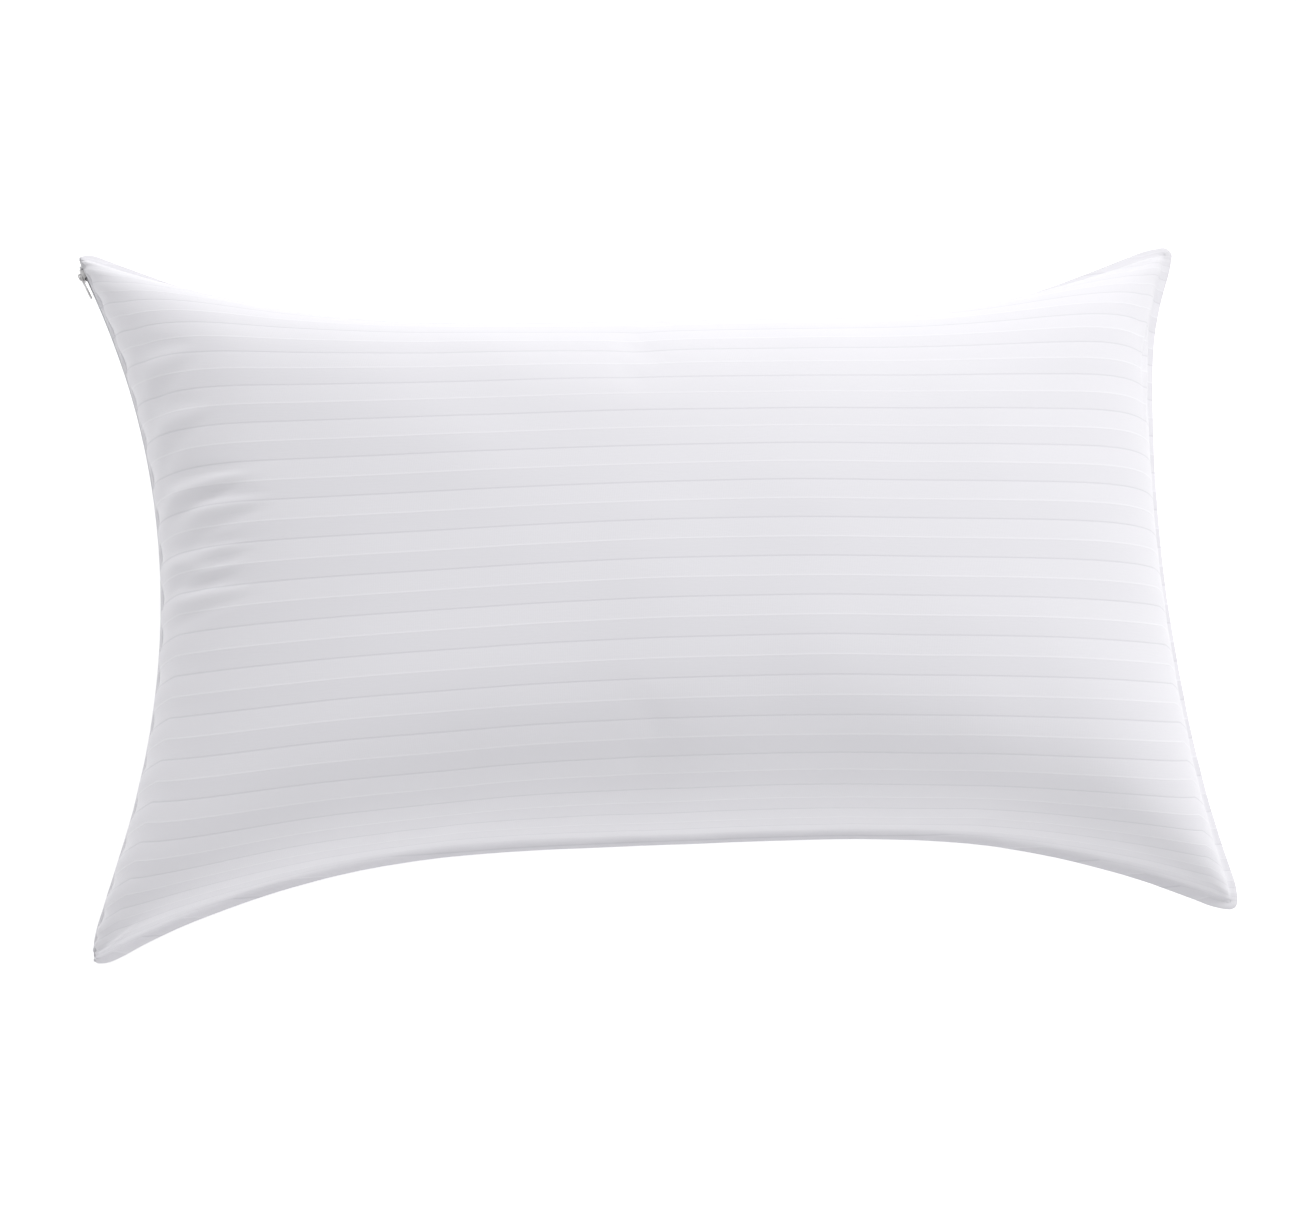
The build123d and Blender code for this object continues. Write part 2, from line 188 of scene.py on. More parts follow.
# ---- Meshes ------------------------------------------------------------------------------------
def grid_faces(rows, columns, first=0):
    """Quads over a grid of points numbered row by row."""
    index = np.arange(rows * columns).reshape(rows, columns) + first
    corners = [index[:-1, :-1], index[1:, :-1], index[1:, 1:], index[:-1, 1:]]
    return np.stack(corners, -1).reshape(-1, 4)


def make_object(name, points, faces, cloth_uv=None):
    mesh = bpy.data.meshes.new(name)
    mesh.from_pydata(np.asarray(points, float).reshape(-1, 3).tolist(), [], np.asarray(faces).tolist())
    mesh.shade_smooth()
    if cloth_uv is not None:
        layer = mesh.uv_layers.new(name="cloth")
        corner_vertex = np.empty(len(mesh.loops), np.int32)
        mesh.loops.foreach_get("vertex_index", corner_vertex)
        uv = np.asarray(cloth_uv, np.float32).reshape(-1, 2)[corner_vertex]
        layer.data.foreach_set("uv", uv.ravel())
    piece = bpy.data.objects.new(name, mesh)
    bpy.context.scene.collection.objects.link(piece)
    return piece


def apply_modifiers(piece):
    """Replaces a piece's mesh with what its modifiers make of it."""
    depsgraph = bpy.context.evaluated_depsgraph_get()
    finished = bpy.data.meshes.new_from_object(piece.evaluated_get(depsgraph), depsgraph=depsgraph)
    piece.modifiers.clear()
    piece.data = finished


def thicken(piece, thickness):
    """Gives cloth its thickness, inward from the surface that is seen."""
    solid = piece.modifiers.new("thickness", "SOLIDIFY")
    solid.thickness = thickness
    solid.offset = -1
    apply_modifiers(piece)


def refine(grid, times):
    """A smooth grid through every point of a coarser one, with times as many cells each way."""
    for axis in (0, 1):
        grid = np.moveaxis(grid, axis, 0)
        padded = np.concatenate([2 * grid[:1] - grid[1:2], grid, 2 * grid[-1:] - grid[-2:-1]])
        before, here, there, after = padded[:-3], padded[1:-2], padded[2:-1], padded[3:]
        parts = []
        for step in range(times):
            t = step / times
            parts.append(
                here
                + 0.5 * t * (there - before)
                + t * t * (before - 2.5 * here + 2 * there - 0.5 * after)
                + t ** 3 * (1.5 * (here - there) + 0.5 * (after - before))
            )
        woven = np.stack(parts, 1).reshape(-1, *grid.shape[1:])
        grid = np.moveaxis(np.concatenate([woven, grid[-1:]]), 0, axis)
    return grid


def grid_normals(grid):
    """Unit normals of a grid of points, upward on a front panel."""
    along = np.gradient(grid, axis=0)
    across = np.gradient(grid, axis=1)
    normal = np.cross(along, across)
    return normal / np.maximum(np.linalg.norm(normal, axis=-1, keepdims=True), 1e-12)


# ---- Cloth simulation ----------------------------------------------------------------------------
PRESSURE = 4.0
TENSION = 60.0
BENDING = 0.3
HOLD = 0.05             # how firmly the filling holds the cloth to the crowned shape
STEPS = 24
SMOOTH_ROUNDS, SMOOTH_SHARE = 3, 0.4
LUMP_RISE, LUMP_SCALE, LUMP_FULL_AT = 0.0022, 14, 0.05


def simulate_panel(flat, filled, seed):
    """Inflates one panel between its pinned edges, with its flat cloth's own lengths."""
    rows, columns = filled.shape[:2]
    start = filled.copy()
    for i in range(1, rows - 1):
        for j in range(1, columns - 1):
            u, v = flat[i, j, :2]
            lump = noise.noise(Vector((u * LUMP_SCALE, v * LUMP_SCALE, seed)))
            start[i, j, 2] += LUMP_RISE * lump * min(1.0, filled[i, j, 2] / LUMP_FULL_AT)
    cloth = make_object("cloth_in_work", start, grid_faces(rows, columns))
    cloth.shape_key_add(name="filled")
    lying = cloth.shape_key_add(name="flat")
    lying.data.foreach_set("co", flat.astype(np.float32).ravel())
    held = cloth.vertex_groups.new(name="held")
    index = np.arange(rows * columns).reshape(rows, columns)
    held.add(index[1:-1, 1:-1].ravel().tolist(), HOLD, "REPLACE")
    edge = np.concatenate([index[0], index[-1], index[1:-1, 0], index[1:-1, -1]])
    held.add(edge.tolist(), 1.0, "REPLACE")
    modifier = cloth.modifiers.new("cloth", "CLOTH")
    settings = modifier.settings
    settings.quality = 7
    settings.mass = 0.15
    settings.tension_stiffness = TENSION
    settings.compression_stiffness = TENSION * 0.3
    settings.shear_stiffness = TENSION * 0.3
    settings.bending_stiffness = BENDING
    settings.tension_damping = 10
    settings.compression_damping = 10
    settings.shear_damping = 10
    settings.air_damping = 5
    settings.use_pressure = True
    settings.uniform_pressure_force = PRESSURE
    settings.effector_weights.gravity = 0
    settings.vertex_group_mass = "held"
    settings.pin_stiffness = 1.0
    settings.rest_shape_key = lying
    modifier.point_cache.frame_end = STEPS + 1
    for step in range(1, STEPS + 1):
        bpy.context.scene.frame_set(step)
    depsgraph = bpy.context.evaluated_depsgraph_get()
    result = cloth.evaluated_get(depsgraph).data
    points = np.empty(rows * columns * 3, np.float32)
    result.vertices.foreach_get("co", points)
    bpy.context.scene.frame_set(1)
    bpy.data.objects.remove(cloth)
    grid = points.reshape(rows, columns, 3).astype(float)
    for _ in range(SMOOTH_ROUNDS):
        mean = (grid[:-2, 1:-1] + grid[2:, 1:-1] + grid[1:-1, :-2] + grid[1:-1, 2:]) / 4
        grid[1:-1, 1:-1] += SMOOTH_SHARE * (mean - grid[1:-1, 1:-1])
    return grid


# ---- Creases and small unevenness ----------------------------------------------------------------
# Each crease of the front panel: middle along and across the cloth, half its length and width,
# height (negative for a valley), and how much it slants. The first ones fan out from the zipper's
# middle, where the gathered end lets the cloth buckle; the last ones lie in the corners.
CREASES = [
    (-0.309, 0.0420, 0.036, 0.0034, 0.0022, 0.10),
    (-0.292, 0.0290, 0.028, 0.0036, 0.0021, 0.04),
    (-0.312, 0.0060, 0.036, 0.0032, 0.0021, 0.02),
    (-0.304, -0.0020, 0.026, 0.0030, 0.0017, -0.03),
    (-0.308, -0.0150, 0.034, 0.0034, 0.0016, -0.06),
    (-0.320, 0.0780, 0.024, 0.0050, 0.0014, 0.22),
    (-0.318, 0.1120, 0.022, 0.0055, 0.0015, 0.30),
    (0.353, 0.1240, 0.012, 0.0080, -0.0017, 2.00),
    (0.330, 0.2060, 0.020, 0.0055, 0.0007, 0.30),
    (-0.335, -0.2050, 0.018, 0.0060, 0.0005, 0.55),
]


CREASE_TAPER = 0.45     # how much narrower and lower a crease is at its far end


def crease_heights(u, v):
    height = np.zeros_like(u)
    for centre_u, centre_v, half_length, half_width, rise, slant in CREASES:
        along = (u - centre_u) / half_length
        taper = 1 - CREASE_TAPER * np.clip(along, -1, 1)
        across = (v - centre_v - slant * (u - centre_u)) / (half_width * taper)
        ridge = np.exp(-across ** 2) - 0.55 * np.exp(-(np.abs(across) - 2.0) ** 2)
        height += rise * ridge * taper * np.exp(-along ** 4)
    return height


def unevenness(u, v, seed):
    """Slow lumps of the filling, and gathers that fade away from the seams."""
    out = np.zeros_like(u)
    from_side = FLAT_WIDTH / 2 - np.abs(v)
    from_end = FLAT_LENGTH / 2 - np.abs(u)
    for index in np.ndindex(u.shape):
        a, b = u[index], v[index]
        slow = noise.noise(Vector((a * 9, b * 11, seed + 3)))
        side_gather = noise.noise(Vector((a * 70, b * 9, seed + 7)))
        end_gather = noise.noise(Vector((a * 9, b * 75, seed + 11)))
        fade_side = math.exp(-from_side[index] / 0.020)
        fade_end = math.exp(-from_end[index] / 0.026)
        out[index] = 0.0010 * slow + 0.0004 * fade_side * side_gather + 0.0011 * fade_end * end_gather
    return out


GATHER_DEPTH, GATHER_REACH = 0.00115, 0.020


def band_gathers(u, v):
    """The satin bands, softer than the plain ones, sink where the zipper's stitching gathers them."""
    across = np.sin(2 * math.pi * (band_place(u, v) - BAND_START) / (2 * BAND))
    from_fold = u + FLAT_LENGTH / 2
    fade = np.exp(-from_fold / GATHER_REACH) * smooth_step(0.002, 0.007, from_fold)
    return -GATHER_DEPTH * across * fade


def fold_profile(from_fold):
    """The zipper's folded edge: a soft roll, then the dip that its stitching pulls in."""
    roll = 0.0005 * bump(from_fold, 0.0026, 0.0018)
    dip = 0.0006 * bump(from_fold, STITCH_FROM_FOLD, 0.0010)
    return roll - dip


def finish_panel(flat, shape, seed, front):
    """The finished outer surface of a panel, in its place, as a fine grid."""
    fine_flat = refine(flat, FINE)
    fine = refine(shape, FINE)
    u, v = fine_flat[..., 0], fine_flat[..., 1]
    from_edge = np.minimum(FLAT_LENGTH / 2 - np.abs(u), FLAT_WIDTH / 2 - np.abs(v))
    height = unevenness(u, v, seed)
    if front:
        height = height + crease_heights(u, v)
    height = height + band_gathers(u, v)
    height = height * smooth_step(0, 0.008, from_edge) + fold_profile(u + FLAT_LENGTH / 2)
    fine = fine + grid_normals(fine) * height[..., None]
    return np.stack([u, band_place(u, v)], -1), fine_flat[..., :2], fine


def settle(height, softness=0.004):
    """Flattens what would reach below the ground, with a soft turn where it lands."""
    return 0.5 * (height + np.sqrt(height ** 2 + softness ** 2))


# ---- The covers' flat sewn edge and folded hem ---------------------------------------------------
TIP_TURN = 0.013        # the flat edge narrows to nothing over this distance at the zipper's ends
FLANGE_STEPS = (0.0006, 0.0014, 0.0024, 0.0034, 0.0044, 0.0051, 0.00545, 0.00555)
HEM_TURN = (
    (0.0001, -0.00018), (0.0004, -0.0003), (0.0008, -0.0003), (0.0011, -0.0001), (0.00118, 0.0007),
)


def rim_index(rows, columns):
    """The grid's points round its three sewn sides, from one zipper tip to the other."""
    index = np.arange(rows * columns).reshape(rows, columns)
    return np.concatenate([index[:, -1], index[-1, -2::-1], index[-2::-1, 0]])


def outward_of(path, rounds=6):
    """Unit vectors in the seam plane, square to a path that runs clockwise."""
    tangent = np.gradient(path[:, :2], axis=0)
    tangent /= np.linalg.norm(tangent, axis=1, keepdims=True)
    outward = np.stack([-tangent[:, 1], tangent[:, 0]], -1)
    for _ in range(rounds):
        outward[1:-1] = (outward[:-2] + 2 * outward[1:-1] + outward[2:]) / 4
    return outward / np.linalg.norm(outward, axis=1, keepdims=True)


def flange_rise(away):
    """Height of a ply above the seam plane, from the seam to the turned outer edge."""
    share = np.clip(away / FLANGE, 0, 1)
    return SEWN_GAP * (1 - share) + 0.00085 * (1 - share ** 6) * smooth_step(0, 0.0016, away)


def flange_ripple(point, away):
    """The slight wave that the stitching leaves in the edge, the same in both plies."""
    wave = noise.noise(Vector((point[0] * 95, point[1] * 95, 4.2)))
    slow = noise.noise(Vector((point[0] * 24, point[1] * 24, 8.1)))
    return (0.00045 * wave + 0.0010 * slow) * (away / FLANGE)


RELAX_ROUNDS = 30
RELAX_IN = 0.015        # how far into the panel the turn to the flat edge is eased


def relax(points, cloth_uv, faces):
    """Eases the angle between the panel and its flat edge, away from the zipper's fold."""
    inside = np.minimum(FLAT_WIDTH / 2 - np.abs(cloth_uv[:, 1]), FLAT_LENGTH / 2 - cloth_uv[:, 0])
    weight = 1 - smooth_step(RELAX_IN * 0.3, RELAX_IN, inside)
    weight *= 1 - smooth_step(0.0022, 0.0040, -inside)
    weight *= smooth_step(0.006, 0.022, cloth_uv[:, 0] + FLAT_LENGTH / 2)
    links = np.concatenate([faces[:, [k, (k + 1) % 4]] for k in range(4)])
    links = np.concatenate([links, links[:, ::-1]])
    count = np.bincount(links[:, 0], minlength=len(points))[:, None]
    for _ in range(RELAX_ROUNDS):
        total = [
            np.bincount(links[:, 0], weights=points[links[:, 1], k], minlength=len(points))
            for k in range(3)
        ]
        mean = np.stack(total, -1) / count
        points = points + 0.5 * weight[:, None] * (mean - points)
    return points


def cover_mesh(name, woven_uv, cloth_uv, panel, side):
    """One cover panel with its flange ply and its hem. side is 1 for the front, -1 for the back."""
    rows, columns = panel.shape[:2]
    points = [panel.reshape(-1, 3)]
    uvs = [cloth_uv.reshape(-1, 2)]
    woven = [woven_uv.reshape(-1, 2)]
    faces = [grid_faces(rows, columns)]
    rim = rim_index(rows, columns)
    path = points[0][rim]
    outward = outward_of(path)
    rim_uv = uvs[0][rim]
    rim_out = np.stack([
        np.where(rim_uv[:, 0] > FLAT_LENGTH / 2 - 1e-6, 1.0, 0.0),
        np.where(np.abs(rim_uv[:, 1]) > FLAT_WIDTH / 2 - 1e-6, np.sign(rim_uv[:, 1]), 0.0),
    ], -1)
    previous, first = rim, rows * columns
    base = SEAM_Z + side * SEWN_GAP
    steps = np.linalg.norm(np.diff(path, axis=0), axis=1)
    walked = np.concatenate([[0], np.cumsum(steps)])
    from_tip = np.minimum(walked, walked[-1] - walked)
    width = np.sqrt(1 - (1 - np.clip(from_tip / TIP_TURN, 0, 1)) ** 2)
    for away in FLANGE_STEPS:
        ring = path.copy()
        ring[:, :2] += outward * (away * width)[:, None]
        lift = (path[:, 2] - base) * (1 - 0.5 * away / FLANGE)
        ripple = np.array([flange_ripple(point, away) for point in path])
        ring[:, 2] = SEAM_Z + side * flange_rise(away) + lift + ripple
        points.append(ring)
        uvs.append(rim_uv + rim_out * away)
        woven.append(woven[0][rim] + rim_out * away)
        current = np.arange(len(rim)) + first
        faces.append(np.stack([previous[:-1], previous[1:], current[1:], current[:-1]], -1))
        previous, first = current, first + len(rim)
    row = panel[0]
    radial = row[:, :2] - np.array(ZIP_CENTRE[:2])
    radial /= np.linalg.norm(radial, axis=1, keepdims=True)
    previous = np.arange(columns)
    for inward, rise in HEM_TURN:
        ring = row.copy()
        ring[:, :2] += radial * inward
        ring[:, 2] += side * rise
        points.append(ring)
        uvs.append(cloth_uv[0] - np.array([inward + 0.0004, 0]))
        woven.append(woven_uv[0] - np.array([inward + 0.0004, 0]))
        current = np.arange(columns) + first
        faces.append(np.stack([previous[:-1], previous[1:], current[1:], current[:-1]], -1))
        previous, first = current, first + columns
    faces = np.concatenate(faces)
    if side < 0:
        faces = faces[:, ::-1]
    all_points, all_uvs = np.concatenate(points), np.concatenate(uvs)
    piece = make_object(name, relax(all_points, all_uvs, faces), faces, np.concatenate(woven))
    thicken(piece, CLOTH_THICKNESS)
    return piece


# ---- Threads, tapes and the zipper's coil --------------------------------------------------------
class Path:
    """A line over the cloth, read by the length walked along it."""

    def __init__(self, points, normals):
        steps = np.linalg.norm(np.diff(points, axis=0), axis=1)
        self.walked = np.concatenate([[0], np.cumsum(steps)])
        self.points, self.normals = points, normals
        self.length = self.walked[-1]

    def at(self, along):
        point = np.stack([np.interp(along, self.walked, self.points[:, k]) for k in range(3)], -1)
        normal = np.stack([np.interp(along, self.walked, self.normals[:, k]) for k in range(3)], -1)
        ahead = np.stack([np.interp(along + 1e-4, self.walked, self.points[:, k]) for k in range(3)], -1)
        behind = np.stack([np.interp(along - 1e-4, self.walked, self.points[:, k]) for k in range(3)], -1)
        tangent = ahead - behind
        tangent /= np.maximum(np.linalg.norm(tangent, axis=-1, keepdims=True), 1e-12)
        normal -= (normal * tangent).sum(-1, keepdims=True) * tangent
        normal /= np.maximum(np.linalg.norm(normal, axis=-1, keepdims=True), 1e-12)
        return point, np.cross(normal, tangent), normal


def tube_faces(rings, sides, first=0):
    """Quads round a tube, and a fan at each end."""
    index = np.arange(rings * sides).reshape(rings, sides) + first
    turned = np.roll(index, -1, axis=1)
    quads = np.stack([index[:-1], turned[:-1], turned[1:], index[1:]], -1).reshape(-1, 4).tolist()
    return quads + [index[0, ::-1].tolist(), index[-1].tolist()]


def stitch_row(name, path, pitch, length, radius):
    """A row of thread stitches, each one lying on the cloth and diving into it at both ends."""
    sides = 6
    shares = np.array([-1.0, -0.92, -0.62, 0.0, 0.62, 0.92, 1.0])
    thinning = np.array([0.35, 0.8, 1.0, 1.0, 1.0, 0.8, 0.35])
    sinking = np.array([-1.1, -0.55, 0.35, 0.6, 0.35, -0.55, -1.1])
    turn = np.arange(sides) * 2 * math.pi / sides
    count = int(path.length / pitch)
    points, faces = [], []
    for number in range(count):
        middle = (number + 0.5) * path.length / count
        point, across, normal = path.at(middle + shares * length / 2)
        ring = (
            (point + normal * (radius * sinking)[:, None])[:, None, :]
            + across[:, None, :] * (np.cos(turn)[None, :] * radius * thinning[:, None])[..., None]
            + normal[:, None, :] * (np.sin(turn)[None, :] * radius * thinning[:, None])[..., None]
        )
        faces += tube_faces(len(shares), sides, number * len(shares) * sides)
        points.append(ring.reshape(-1, 3))
    return make_mixed(name, np.concatenate(points), faces)


def make_mixed(name, points, faces):
    mesh = bpy.data.meshes.new(name)
    mesh.from_pydata(points.tolist(), [], faces)
    mesh.shade_smooth()
    piece = bpy.data.objects.new(name, mesh)
    bpy.context.scene.collection.objects.link(piece)
    return piece


def on_zip_arc(angle, radius, z):
    """A point at an angle along the zipper's arc."""
    return np.stack([
        ZIP_CENTRE.x + radius * np.cos(angle), ZIP_CENTRE.y + radius * np.sin(angle), SEAM_Z + z,
    ], -1)


COIL_PITCH = 0.0013
COIL_WIRE = 0.0003


def fold_line(panel):
    """The fold as seen from the zipper's centre: angles from its near end to its far end, and radii."""
    offset = panel[0, :, :2] - np.array(ZIP_CENTRE[:2])
    angle = np.arctan2(offset[:, 1], offset[:, 0])
    return angle, np.linalg.norm(offset, axis=1)


def zipper_coil(name, panel, side):
    """One half of the nylon coil, a wire wound into flat loops along the tape's edge."""
    sides, per_loop = 5, 10
    fold_angle, fold_radius = fold_line(panel)
    gap = CHAIN_END_GAP / ZIP_RADIUS
    start, end = fold_angle.min() + gap, min(fold_angle.max(), TIP_ANGLE) - gap
    loops = int((end - start) * ZIP_RADIUS / COIL_PITCH)
    phase = np.arange(loops * per_loop + 1) * 2 * math.pi / per_loop
    shift = 0.25 * COIL_PITCH * side / ZIP_RADIUS
    angle = start + phase / (2 * math.pi) * COIL_PITCH / ZIP_RADIUS + shift
    depth = COIL_HEIGHT / 2 - COIL_WIRE
    reach = (COIL_EDGE - COIL_WIRE) / 2
    centre = on_zip_arc(
        angle,
        np.interp(angle, fold_angle, fold_radius) + 0.0003 + depth * np.sin(phase),
        side * (COIL_EDGE / 2 + 0.0001 + (reach - 0.0001) * np.cos(phase)),
    )
    tangent = np.gradient(centre, axis=0)
    tangent /= np.linalg.norm(tangent, axis=1, keepdims=True)
    along = np.stack([-np.sin(angle), np.cos(angle), np.zeros_like(angle)], -1)
    first = np.cross(tangent, along)
    first /= np.linalg.norm(first, axis=1, keepdims=True)
    second = np.cross(tangent, first)
    turn = np.arange(sides) * 2 * math.pi / sides
    ring = centre[:, None] + COIL_WIRE * (
        first[:, None] * np.cos(turn)[None, :, None] + second[:, None] * np.sin(turn)[None, :, None]
    )
    return make_mixed(name, ring.reshape(-1, 3), tube_faces(len(phase), sides))


def zipper_tape(name, panel, normals, side):
    """A tape: flat behind the coil, then sewn inside the panel's fold, as far as the fold is open."""
    angle, radius = fold_line(panel)
    gap = CHAIN_END_GAP / ZIP_RADIUS
    open_fold = (angle > angle.min() + gap) & (angle < angle.max() - gap)
    panel, normals = panel[:, open_fold], normals[:, open_fold]
    columns = panel.shape[1]
    angle, radius = fold_line(panel)
    radius = radius + TAPE_OUTER - ZIP_RADIUS + 0.0001
    rows = [on_zip_arc(angle, radius, np.full(columns, side * z)) for z in (TAPE_EDGE, 0.0022, 0.0039)]
    rows += [panel[k] - normals[k] * 0.0016 for k in (1, 2, 3)]
    grid = np.stack(rows)
    flat = np.stack(np.meshgrid(np.arange(len(rows)) * 0.0022, panel[0, :, 1], indexing="ij"), -1)
    faces = grid_faces(len(rows), columns)
    if side > 0:
        faces = faces[:, ::-1]
    piece = make_object(name, grid, faces[:, ::-1], flat)
    solid = piece.modifiers.new("thickness", "SOLIDIFY")
    solid.thickness = 0.0005
    solid.offset = -1
    apply_modifiers(piece)
    return piece


def bottom_stop(name, panel):
    """A moulded clip round the end of both coils."""
    fold_angle, fold_radius = fold_line(panel)
    start = fold_angle.min() + (CHAIN_END_GAP - 0.0004) / ZIP_RADIUS
    half_z, half_depth, wall, length = 0.0026, 0.0014, 0.00045, 0.0018
    turns = np.linspace(-0.86, 0.86, 19) * math.pi
    outline = []
    for grow in (0.0, -wall):
        outline.append(np.stack([
            (half_z + grow) * np.sign(np.sin(turns)) * np.abs(np.sin(turns)) ** 0.6,
            -(half_depth + grow) * np.sign(np.cos(turns)) * np.abs(np.cos(turns)) ** 0.6,
        ], -1))
    loop = np.concatenate([outline[0], outline[1][::-1]])
    rings = []
    for share, shrink in ((0, 0.94), (0.12, 1), (0.88, 1), (1, 0.94)):
        angle = start + share * length / ZIP_RADIUS
        radius = np.interp(angle, fold_angle, fold_radius) + 0.0003 + loop[:, 1] * shrink
        rings.append(on_zip_arc(np.full(len(loop), angle), radius, loop[:, 0] * shrink))
    return make_mixed(name, np.concatenate(rings), tube_faces(len(rings), len(loop)))


# ---- The pillow ----------------------------------------------------------------------------------
cells_along, cells_across = round(FLAT_LENGTH / CELL), round(FLAT_WIDTH / CELL)
flat_cloth, filled_cloth = panel_start(cells_along, cells_across)
covers, surfaces, facing = {}, {}, {}
for side, label, seed in ((1, "front", 1.7), (-1, "back", 5.3)):
    blown = simulate_panel(flat_cloth, filled_cloth, seed)
    woven_uv, cloth_uv, surface = finish_panel(flat_cloth, blown, seed, front=side > 0)
    surface[..., 2] = SEAM_Z + side * surface[..., 2]
    if side < 0:
        surface[..., 2] = settle(surface[..., 2])
    normal = grid_normals(surface) * side
    surfaces[label], facing[label] = surface, normal
    covers[label] = cover_mesh("cover_" + label, woven_uv, cloth_uv, surface, side)


LINER_TIP = (0.013, 0.050)      # how far the liner's corners stay out of the tips, over what distance


def inner_sheet(name, label, inset, thickness):
    """A closed layer inside the cover, a little away from it all round."""
    shape = surfaces[label][::3, ::3]
    side = 1 if label == "front" else -1
    inner = shape - facing[label][::3, ::3] * inset
    inner = inner[1:-1, 1:-1]
    depth, span = LINER_TIP
    for end, half_width in ((-1, ZIP_WIDTH / 2), (1, END_WIDTH / 2)):
        for across in (-1, 1):
            tip = np.array([end * LENGTH / 2, across * half_width])
            away = np.linalg.norm(inner[..., :2] - tip, axis=-1)
            reach = depth * np.clip(1 - away / span, 0, 1)
            inner[..., :2] -= np.array([end, across]) * reach[..., None]
    floor_height = 0.0006 + inset * 0.9
    inner[..., 2] = np.maximum(inner[..., 2], floor_height)
    inner[..., 2] = SEAM_Z + side * np.maximum(side * (inner[..., 2] - SEAM_Z), 0.0012 + thickness)
    faces = grid_faces(*inner.shape[:2])
    piece = make_object(name, inner, faces if side > 0 else faces[:, ::-1])
    thicken(piece, thickness)
    return piece, inner


def filling(name, front, back):
    """The fibre filling, one closed form between the liner's panels."""
    rows, columns = front.shape[:2]
    count = rows * columns
    faces = [grid_faces(rows, columns), grid_faces(rows, columns, count)[:, ::-1]]
    index = np.arange(count).reshape(rows, columns)
    rim = np.concatenate([index[:-1, 0], index[-1, :-1], index[:0:-1, -1], index[0, :0:-1]])
    after = np.roll(rim, -1)
    faces.append(np.stack([rim, rim + count, after + count, after], -1))
    points = np.concatenate([front.reshape(-1, 3), back.reshape(-1, 3)])
    return make_object(name, points, np.concatenate(faces))


LINER_INSET, LINER_THICKNESS, FILL_GAP = 0.0045, 0.0006, 0.0012
liners, inners = {}, {}
for label in ("front", "back"):
    liners[label], inners[label] = inner_sheet("liner_" + label, label, LINER_INSET, LINER_THICKNESS)
fill_front = inners["front"] - np.array([0, 0, FILL_GAP])
fill_back = inners["back"] + np.array([0, 0, FILL_GAP])
fill = filling("fibre_filling", fill_front[1:-1, 1:-1], fill_back[1:-1, 1:-1])

rows, columns = surfaces["front"].shape[:2]
rim = rim_index(rows, columns)
threads = {}
for label, side, name in (("front", 1, "needle_stitches"), ("back", -1, "bobbin_stitches")):
    path_points = surfaces[label].reshape(-1, 3)[rim].copy()
    path_points[:, :2] += outward_of(path_points) * 0.0009
    path_points[:, 2] += side * 0.00045
    up = np.tile([0.0, 0.0, float(side)], (len(rim), 1))
    threads[name] = stitch_row(name, Path(path_points, up), STITCH_PITCH, STITCH_LENGTH, THREAD_RADIUS)

topstitches = {}
for label, side in (("front", 1), ("back", -1)):
    share = STITCH_FROM_FOLD / (FLAT_LENGTH / (cells_along * FINE))
    low = int(share)
    part = share - low
    line = surfaces[label][low] * (1 - part) + surfaces[label][low + 1] * part
    up = facing[label][low] * (1 - part) + facing[label][low + 1] * part
    name = "zipper_stitches_" + label
    topstitches[label] = stitch_row(name, Path(line, up), STITCH_PITCH, STITCH_LENGTH, THREAD_RADIUS)

coils = {
    label: zipper_coil("coil_" + label, surfaces[label], side)
    for label, side in (("front", 1), ("back", -1))
}
tapes = {
    label: zipper_tape("tape_" + label, surfaces[label], facing[label], side)
    for label, side in (("front", 1), ("back", -1))
}
clip = bottom_stop("bottom_stop", surfaces["front"])


